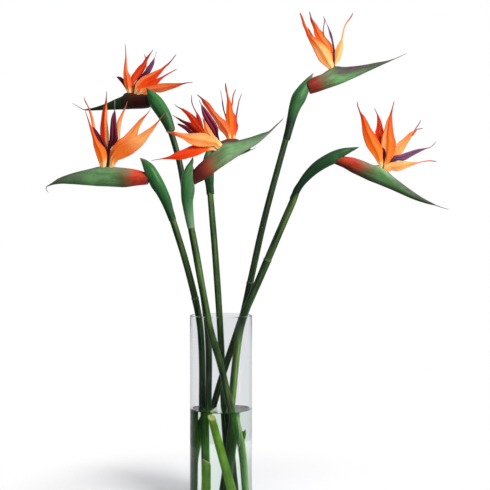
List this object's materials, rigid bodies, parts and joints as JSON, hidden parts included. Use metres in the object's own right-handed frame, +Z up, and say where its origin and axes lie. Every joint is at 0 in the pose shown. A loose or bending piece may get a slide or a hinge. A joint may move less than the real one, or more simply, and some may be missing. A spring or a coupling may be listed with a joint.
{
  "type": "flower bouquet in vase",
  "caption": "Tall bird of paradise bouquet leaning out of a straight clear glass cylinder vase half filled with water, with green beak-like bracts, orange sepals and purple tongues.",
  "frame": {"origin": "centre of the vase's flat underside, on the surface it stands on", "axes": "+Z up along the vase's axis, +X to the right and +Y away from the viewer as seen in the picture"},
  "size_m": [0.6274, 0.2543, 0.8022],
  "materials": {
    "vase_glass": "gloss",
    "water": "gloss",
    "stalk_green": "satin",
    "sheath_green": "satin",
    "spathe_green": "satin",
    "cut_stalk": "satin",
    "sepal_orange": "satin",
    "sepal_peach": "satin",
    "sepal_red": "satin",
    "sepal_crimson": "satin",
    "tongue_purple": "satin"
  },
  "bodies": {
    "root": {"cut_stalk_1": "cut_stalk", "cut_stalk_2": "cut_stalk", "sepal_a_1": "sepal_orange", "sepal_a_2": "sepal_peach", "sepal_a_3": "sepal_red", "sepal_a_4": "sepal_peach", "sepal_a_5": "sepal_orange", "sepal_a_6": "sepal_orange", "sepal_b_1": "sepal_red", "sepal_b_2": "sepal_red", "sepal_b_3": "sepal_red", "sepal_b_4": "sepal_red", "sepal_b_5": "sepal_red", "sepal_c_1": "sepal_orange", "sepal_c_2": "sepal_red", "sepal_c_3": "sepal_red", "sepal_c_4": "sepal_crimson", "sepal_c_5": "sepal_crimson", "sepal_c_6": "sepal_peach", "sepal_d_1": "sepal_orange", "sepal_d_2": "sepal_orange", "sepal_d_3": "sepal_peach", "sepal_e_1": "sepal_orange", "sepal_e_2": "sepal_red", "sepal_e_3": "sepal_orange", "sepal_e_4": "sepal_orange", "sepal_e_5": "sepal_orange", "sepal_f_1": "sepal_orange", "sepal_f_2": "sepal_red", "sepal_f_3": "sepal_red", "sepal_f_4": "sepal_crimson", "sheath_a": "sheath_green", "sheath_b": "sheath_green", "sheath_c": "sheath_green", "sheath_d": "sheath_green", "sheath_e": "sheath_green", "sheath_f": "sheath_green", "spathe_a": "spathe_green", "spathe_b": "spathe_green", "spathe_c": "spathe_green", "spathe_d": "spathe_green", "spathe_e": "spathe_green", "spathe_f": "spathe_green", "stem_a": "stalk_green", "stem_b": "stalk_green", "stem_c": "stalk_green", "stem_d": "stalk_green", "stem_e": "stalk_green", "stem_f": "stalk_green", "tongue_a": "tongue_purple", "tongue_b_1": "tongue_purple", "tongue_b_2": "tongue_purple", "tongue_c_1": "tongue_purple", "tongue_c_2": "tongue_purple", "tongue_d": "tongue_purple", "tongue_e": "tongue_purple", "tongue_f": "tongue_purple", "vase": "vase_glass", "water": "water"}
  },
  "joints": []
}
